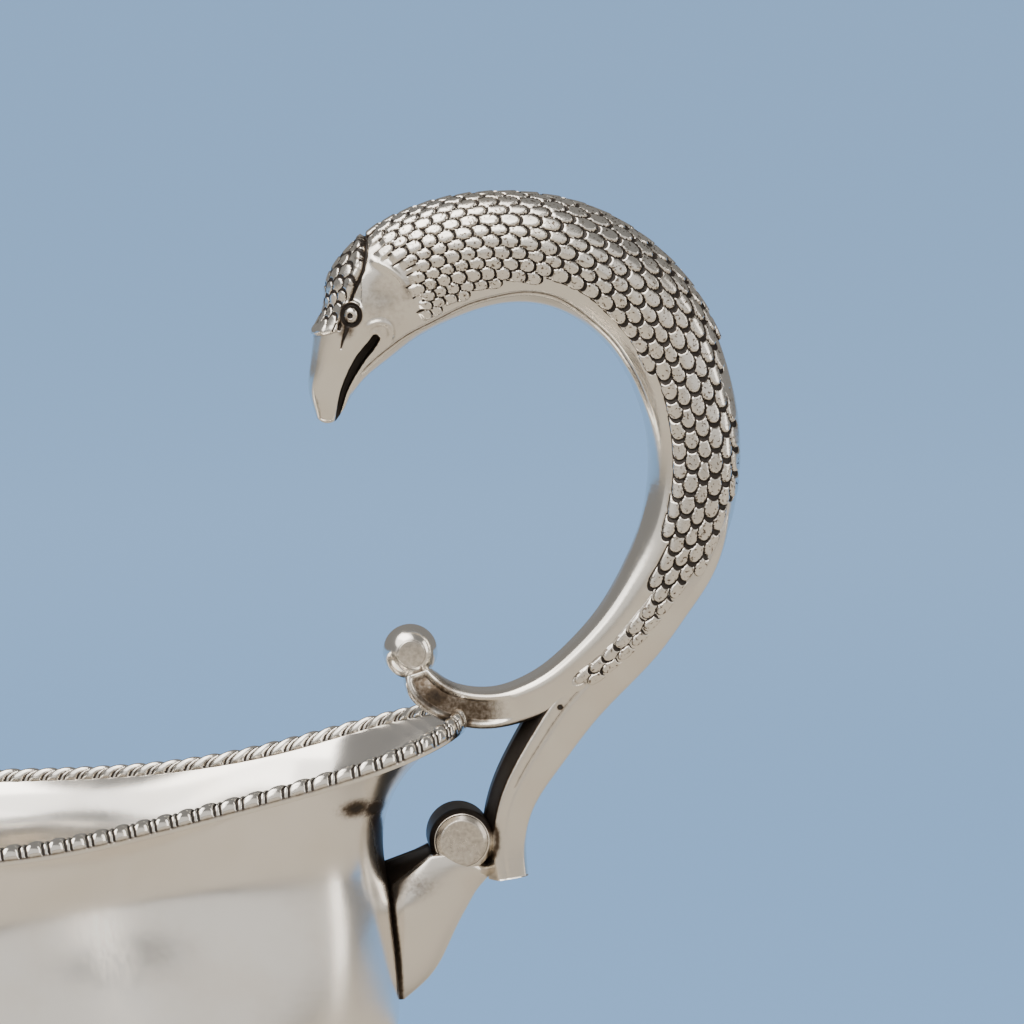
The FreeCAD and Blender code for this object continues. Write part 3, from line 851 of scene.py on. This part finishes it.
def strut_half():
    """One half of the strut: a rounded back, a flat side, and a narrow inner face, dark with oxide and a
    painted dark reflection.
    """
    line, _, back = limb_line(STRUT, STRUT_ROWS)
    section = strut_section()
    inward = -section[:, 0]
    out = line[:, 2][:, None] / 2 * section[None, :, 0]
    x = line[:, 0][:, None] + back[:, 0][:, None] * out
    z = line[:, 1][:, None] + back[:, 1][:, None] * out
    y = line[:, 3][:, None] / 2 * section[None, :, 1]
    # the inner face: oxide, and a painted dark reflection of the dark space it faces
    inner_face_reflection_and_oxide = 0.95 * step(0.50, 0.66, inward) * (1 - 0.25 * step(0.8, 1.0, inward))
    dark = inner_face_reflection_and_oxide[None, :] * (0.15 + 0.85 * step(78.0, 82.0, z))
    # the drilled vent is painted black as the shade inside the hole
    dark = np.maximum(dark, 1.2 * plateau(np.hypot(x - VENT[0], z - VENT[1]), 0.40))
    dark = np.maximum(dark, 0.34 * bell(inward - 0.19, 0.05)[None, :] * (z > 86) * (z < 101))
    against_roll = np.hypot(x - ROLL[0], z - ROLL[1]) - 5.0
    dark = np.maximum(dark, 0.55 * bell(against_roll, 0.55))
    return np.stack([x, y, z], -1), dark


def make_handle():
    """Both halves of the handle: the bird and the strut in one piece each."""
    bird, bird_dark, bird_feather = bird_half()
    strut, strut_dark = strut_half()
    points = np.concatenate([bird.reshape(-1, 3), strut.reshape(-1, 3)])
    dark = np.concatenate([bird_dark.ravel(), strut_dark.ravel()])
    feather = np.concatenate([bird_feather.ravel(), np.zeros(strut_dark.size)])
    strut_start = NECK_ROWS * NECK_COLUMNS
    for side, word in SIDES:
        faces = grid_faces(NECK_ROWS, NECK_COLUMNS, flip=side > 0)
        faces += grid_faces(STRUT_ROWS, STRUT_COLUMNS, flip=side > 0, start=strut_start)
        faces.append(row_face(STRUT_ROWS - 1, STRUT_COLUMNS, flip=side < 0, start=strut_start))
        make_mesh("handle_" + word + "_feathered", points * (1, side, 1), faces,
                  "handle_half_" + word, CAST, dark, feather)


make_handle()

# ---- ball, roll and pods

TURNED_AROUND = 96
AXIS = 0.02                             # radius at which a turned piece's ends close
BALL, BALL_R = (71.0, 104.9), 3.85
BALL_DISC_HAZE = ROLL_DISC_HAZE = 0.22
# The pod that carries the roll: (z, outermost x, half width), top to bottom
POD = [
    (77.3, 74.6, 1.6),
    (76.6, 78.0, 3.4),
    (75.4, 80.6, 4.6),
    (73.6, 82.3, 5.5),
    (71.4, 80.9, 6.0),
    (68.8, 78.9, 6.1),
    (66.6, 77.7, 5.8),
    (64.2, 76.6, 5.1),
    (61.6, 75.4, 4.1),
    (59.0, 73.7, 2.9),
    (57.0, 71.7, 1.8),
    (55.6, 70.1, 0.7),
]
POD_BACK = 66.4             # x of the pod's back, before the wall stops it
POD_UP, POD_AROUND = 110, 60
POD_SEAM = [(55.0, 70.0), (60.0, 69.7), (66.0, 69.0), (72.0, 68.2)]     # (z, x) against the bowl
# The middle of the bowl's wall there, as (z, x): the pod goes no deeper
POD_WALL = [
    (55.0, 68.8), (60.0, 68.65), (66.0, 68.2), (69.0, 67.9), (72.0, 67.4), (75.0, 66.85), (77.3, 66.6),
]


def turned(name, place, profile, node, material, oxide_and_shade, side=1):
    """A piece turned about the Y axis through a place (x, z), from a profile of (radius, y).
    The darkening function gives how dark each point is, from the points and their radius: oxide, and on the
    roll a painted dark reflection too."""
    profile = np.array(profile, float)
    turn = np.linspace(0, 2 * math.pi, TURNED_AROUND, endpoint=False)
    radius, y = profile[:, 0][:, None], side * profile[:, 1][:, None]
    x = place[0] + radius * np.cos(turn)[None, :]
    z = place[1] + radius * np.sin(turn)[None, :]
    points = np.stack([x, y + 0 * x, z], -1)
    faces = tube_faces(len(profile), TURNED_AROUND, flip=side < 0)
    make_mesh(name, points, faces, node, material, oxide_and_shade(points, radius + 0 * x))


def rounded(profile, corner):
    """A profile with each inner corner replaced by a short arc."""
    points = [np.array(profile[0], float)]
    for a, b, c in zip(profile[:-2], profile[1:-1], profile[2:]):
        a, b, c = (np.array(one, float) for one in (a, b, c))
        back, on = a - b, c - b
        cut = min(corner, 0.45 * np.linalg.norm(back), 0.45 * np.linalg.norm(on))
        start = b + back / np.linalg.norm(back) * cut
        end = b + on / np.linalg.norm(on) * cut
        for t in (0, 0.25, 0.5, 0.75, 1):
            points.append((1 - t) ** 2 * start + 2 * t * (1 - t) * b + t * t * end)
    points.append(np.array(profile[-1], float))
    return points


def divided(profile, longest=0.2):
    """A profile with its long runs divided."""
    points = [np.array(profile[0], float)]
    for a, b in zip(profile[:-1], profile[1:]):
        count = max(1, math.ceil(np.linalg.norm(b - a) / longest))
        points += [a + (b - a) * (i + 1) / count for i in range(count)]
    return points


def ball_oxide(points, radius):
    """A ring round the discs, and a stain where the ball sits on the tail."""
    ring = 0.30 * bell(radius - 2.02, 0.12) * (np.abs(points[:, :, 1]) > 3.0)
    return ring + 0.75 * bell(points[:, :, 2] - 101.2, 0.55)


def ball_disc_oxide(points, radius):
    return np.full(radius.shape, BALL_DISC_HAZE)


def roll_reflection_and_oxide(points, radius):
    """The roll's wall is black over the upper left: oxide where polish can't reach, and a painted dark
    reflection of the dark space above.
    """
    x, z = points[:, :, 0] - ROLL[0], points[:, :, 2] - ROLL[1]
    # painted dark reflection and oxide over the upper left
    return 0.80 * step(-2.5, 1.5, z - 0.35 * x) * step(3.75, 3.9, radius)


def roll_disc_oxide(points, radius):
    return ROLL_DISC_HAZE + 0.5 * bell(radius - 3.75, 0.10)


def with_discs(names, place, profiles, oxides_and_shades, material):
    """A turned piece and the discs on its two ends: names, profiles and the darkening functions (oxide, and
    on the roll a painted dark reflection too) are piece, disc.
    """
    piece, disc = names
    turned(piece + "_turned", place, profiles[0], piece, material, oxides_and_shades[0])
    for side, word in SIDES:
        end = disc + "_" + word
        turned(end + "_turned", place, profiles[1], end, material, oxides_and_shades[1], side)


def make_ball_and_roll():
    """The tail's ball and the bracket's roll."""
    arc = [(BALL_R * math.cos(t), BALL_R * math.sin(t)) for t in np.linspace(-1.03, 1.03, 48)]
    ball = [(AXIS, -3.30)] + arc + [(AXIS, 3.30)]
    ball_disc = rounded([(AXIS, 2.7), (2.0, 2.7), (2.0, 3.22), (1.86, 3.42), (AXIS, 3.42)], 0.10)
    with_discs(("tail_ball", "tail_ball_disc"), BALL, (ball, ball_disc), (ball_oxide, ball_disc_oxide),
               CAST)
    roll = [(AXIS, -5.0), (3.8, -5.0), (4.5, -4.1), (4.5, 4.1), (3.8, 5.0), (AXIS, 5.0)]
    roll = divided(rounded(roll, 0.35))
    roll_disc = divided(rounded([(AXIS, 4.8), (3.75, 4.8), (3.68, 5.1), (2.95, 5.62), (AXIS, 5.66)], 0.16))
    with_discs(("bracket_roll", "roll_disc"), ROLL, (roll, roll_disc), (roll_reflection_and_oxide, roll_disc_oxide),
               BRACKET)


def make_pods():
    """The two halves of the keel-shaped pod between the roll and the bowl, with a saddle on top."""
    table = np.array(POD)
    run = chord(table)
    rows = spline(run, table, np.linspace(0, run[-1], POD_UP))
    rows[:, 2] = np.maximum(rows[:, 2], 0.25)
    turn = np.linspace(0, math.pi, POD_AROUND)
    x = POD_BACK + (rows[:, 1] - POD_BACK)[:, None] * (1 + np.cos(turn)[None, :]) / 2
    y = rows[:, 2][:, None] * np.sin(turn)[None, :] ** 0.62
    y[:, 0] = y[:, -1] = 0
    z = rows[:, 0][:, None] + 0 * x
    top = step(73.9, 75.0, z)
    # the saddle drops its sides more than its ridge, and most beside the bowl
    from_bowl = np.clip(x, 67.6, 73.5) - 68.4
    side_drop = (-1.7 + 0.94 * from_bowl) * (1 - 0.8 * step(76.5, 82.5, x))
    ridge_drop = -2.0 + 0.41 * from_bowl
    rising = np.clip((z - 73.6) / 3.7, 0, 1)
    z = z + step(68.5, 73.6, z) * (side_drop * (1 - rising) + ridge_drop * rising)
    x = np.maximum(x, read(POD_WALL, z))
    dark = np.maximum(0.72 * top, 0.62 * (1 - step(-0.4, 0.45, x - read(POD_SEAM, z))))
    dark = np.maximum(dark, 0.30 * spot(x, z, (71.5, 72.6), (3.0, 2.0)))
    for side, word in SIDES:
        faces = grid_faces(POD_UP, POD_AROUND, flip=side < 0)
        faces.append(row_face(0, POD_AROUND, flip=side > 0))
        faces.append(row_face(POD_UP - 1, POD_AROUND, flip=side < 0))
        make_mesh("bracket_pod_" + word + "_keel", np.stack([x, side * y, z], -1), faces,
                  "bracket_pod_" + word, BRACKET, dark)


make_ball_and_roll()
make_pods()

# ---- foot

# (z, half length, half width), from the ring up
FOOT_LEVELS = [
    (1.6, 36.5, 26.5),
    (3.6, 35.4, 25.4),
    (6.0, 31.2, 21.6),
    (9.5, 23.4, 15.4),
    (14.0, 17.4, 11.2),
    (19.0, 15.2, 9.9),
    (23.5, 16.6, 11.0),
    (26.0, 20.0, 14.0),
]
FOOT_SHEET = 1.0
FOOT_AROUND, FOOT_UP = 192, 70
COLLAR_Z, COLLAR_LONG, COLLAR_WIDE, COLLAR_R = 19.0, 15.2, 9.9, 1.3
EDGE_ROWS = (0.0, 0.04, 0.12, 0.5, 0.88, 0.96)      # shares of a flat face, close at its edges


def oval_rows(levels):
    """Points of level ovals (z, half length, half width)."""
    turn = np.linspace(0, 2 * math.pi, FOOT_AROUND, endpoint=False)
    x = levels[:, 1][:, None] * np.cos(turn)[None, :]
    y = levels[:, 2][:, None] * np.sin(turn)[None, :]
    return np.stack([x, y, levels[:, 0][:, None] + 0 * x], -1)


def make_pedestal():
    """The hollow pedestal."""
    table = np.array(FOOT_LEVELS)
    run = chord(table[:, :2])
    outer = spline(run, table, np.linspace(0, run[-1], FOOT_UP))
    inner = outer.copy()
    inward = left_of(outer[:, [1, 0]])
    inner[:, 0] += FOOT_SHEET * inward[:, 1]
    inner[:, 1:] += FOOT_SHEET * inward[:, 0][:, None]
    for end in (0, -1):
        inner[end] = outer[end] - (0, FOOT_SHEET, FOOT_SHEET)
    rows = np.concatenate([oval_rows(inner[::-1]), oval_rows(outer), oval_rows(inner[-1:])])
    z = rows[:, :, 2]
    dark = 0.5 * bell(z - 25.8, 0.35) + 0.4 * bell(z - 1.9, 0.4)
    make_mesh("foot_pedestal_raised", rows, grid_faces(len(rows), FOOT_AROUND, close=True),
              "foot_pedestal", FOOT, dark)


def make_foot_ring():
    """The flat ring the foot stands on."""
    corners = [(0.0, 0.0), (RING_HIGH, 0.0), (RING_HIGH, -RING_BAND), (0.0, -RING_BAND), (0.0, 0.0)]
    section = [(z0 + (z1 - z0) * t, r0 + (r1 - r0) * t)
               for (z0, r0), (z1, r1) in zip(corners[:-1], corners[1:]) for t in EDGE_ROWS]
    section.append(corners[-1])
    ring = oval_rows(np.array([(z, RING_LONG + r, RING_WIDE + r) for z, r in section]))
    make_mesh("foot_ring_flat", ring, grid_faces(len(ring), FOOT_AROUND, close=True),
              "foot_ring", FOOT)


def make_collar():
    """The bead round the pedestal's waist, dark where it meets the pedestal."""
    turn = np.linspace(0, 2 * math.pi, 25)
    out = COLLAR_R * np.cos(turn)
    bead = oval_rows(np.stack([COLLAR_Z + COLLAR_R * np.sin(turn), COLLAR_LONG + out, COLLAR_WIDE + out], 1))
    dark = 0.6 * (1 - step(-0.1, 0.5, np.cos(turn)[:, None] + 0 * bead[:, :, 0]))
    make_mesh("foot_collar_bead", bead, grid_faces(len(bead), FOOT_AROUND, close=True, flip=True),
              "foot_collar", FOOT, dark)


make_pedestal()
make_foot_ring()
make_collar()

# ---- floor and light

FLOOR_NEAR = (0.52, 0.478, 0.42, 1.0)
# The floor's blue behind the object, painted brighter further back to even out the lamps' falloff: (y where
# the change starts, y where it ends, colour)
FLOOR_BLUES_AND_PAINTED_LIGHT = [(0.16, 0.28, (0.244, 0.446, 0.80, 1.0)), (0.28, 1.4, (0.322, 0.56, 0.96, 1.0))]
FLOOR_SIZE = 80.0
MIDDLE = (0.06, 0.0, 0.12)
WARM = (1.0, 0.95, 0.88)
# (name, place, what it points at, size, power, colour), in metres and watts
LIGHTS = [
    ("front_card", (0.1, -1.5, 0.68), (0.1, 0.0, 0.68), (6.4, 1.08), 13.6, (1.0, 0.96, 0.90)),
    ("front_light", (-0.25, -1.0, 0.85), MIDDLE, (0.8, 0.5), 2.5, WARM),
    ("top_light", (-0.35, -0.25, 1.1), MIDDLE, (0.8, 0.6), 5.0, WARM),
    ("right_light", (1.1, -0.35, 0.45), MIDDLE, (0.25, 0.8), 2.0, WARM),
]
SUN_POWER, SUN_ANGLE, SUN_COLOUR, SUN_TURN = 2.7, 1.2, (1.0, 0.97, 0.92), (0.5, -0.5, 0.0)
SKY_COLOUR, SKY_POWER = (0.80, 0.78, 0.75, 1.0), 0.32


def floor_material():
    """A plain matt floor, warm and pale under the object and shading to pale blue behind it, the blue painted
    brighter further back to even out the lamps' falloff.
    """
    material = bpy.data.materials.new("pale_floor")
    material.use_nodes = True
    nodes, links = material.node_tree.nodes, material.node_tree.links
    shader = nodes["Principled BSDF"]
    shader.inputs["Roughness"].default_value = 0.9
    shader.inputs["Specular IOR Level"].default_value = 0.0
    place = nodes.new("ShaderNodeTexCoord")
    split = nodes.new("ShaderNodeSeparateXYZ")
    links.new(place.outputs["Object"], split.inputs["Vector"])
    colour = nodes.new("ShaderNodeRGB").outputs["Color"]
    colour.default_value = FLOOR_NEAR
    for start, end, further in FLOOR_BLUES_AND_PAINTED_LIGHT:
        share = nodes.new("ShaderNodeMapRange")
        share.interpolation_type = "SMOOTHSTEP"
        share.inputs["From Min"].default_value = start
        share.inputs["From Max"].default_value = end
        links.new(split.outputs["Y"], share.inputs["Value"])
        blend = nodes.new("ShaderNodeMix")
        blend.data_type = "RGBA"
        links.new(colour, blend.inputs["A"])
        blend.inputs["B"].default_value = further
        links.new(share.outputs["Result"], blend.inputs["Factor"])
        colour = blend.outputs["Result"]
    links.new(colour, shader.inputs["Base Color"])
    return material


def add_light(name, place, aim, size, power, colour):
    """A rectangular soft light that the camera doesn't see."""
    data = bpy.data.lights.new(name, "AREA")
    data.shape = "RECTANGLE"
    data.size, data.size_y = size
    data.energy = power
    data.color = colour
    lamp = bpy.data.objects.new(name, data)
    lamp.location = place
    lamp.rotation_euler = (Vector(aim) - Vector(place)).to_track_quat("-Z", "Y").to_euler()
    lamp.visible_camera = False
    bpy.context.scene.collection.objects.link(lamp)


def make_studio():
    """The floor, the soft lights, a broad sun and an even sky."""
    bpy.ops.mesh.primitive_plane_add(size=FLOOR_SIZE, location=(0, 0, 0))
    floor = bpy.context.active_object
    floor.name = "floor"
    floor.data.materials.append(floor_material())
    for light in LIGHTS:
        add_light(*light)
    sun = bpy.data.objects.new("soft_sun", bpy.data.lights.new("soft_sun", "SUN"))
    sun.data.energy = SUN_POWER
    sun.data.angle = SUN_ANGLE
    sun.data.color = SUN_COLOUR
    sun.rotation_euler = SUN_TURN
    bpy.context.scene.collection.objects.link(sun)
    world = bpy.data.worlds.new("studio")
    world.use_nodes = True
    sky = world.node_tree.nodes["Background"]
    sky.inputs["Color"].default_value = SKY_COLOUR
    sky.inputs["Strength"].default_value = SKY_POWER
    bpy.context.scene.world = world


make_studio()

# ---- camera

TARGET = Vector((0.0853, 0.0, 0.1244))
AZIMUTH, ELEVATION, DISTANCE = math.radians(-4.0), math.radians(5.4), 0.90
VIEW_WIDTH = 0.1434         # metres across the picture at the target
SENSOR = 36.0
camera_data = bpy.data.cameras.new("camera")
camera = bpy.data.objects.new("camera", camera_data)
camera.location = TARGET + DISTANCE * Vector((
    math.sin(AZIMUTH) * math.cos(ELEVATION), -math.cos(AZIMUTH) * math.cos(ELEVATION), math.sin(ELEVATION)))
camera.rotation_euler = (TARGET - camera.location).to_track_quat("-Z", "Y").to_euler()
camera_data.sensor_width = SENSOR
camera_data.lens = SENSOR * DISTANCE / VIEW_WIDTH
camera_data.clip_start = 0.01
bpy.context.scene.collection.objects.link(camera)
bpy.context.scene.camera = camera
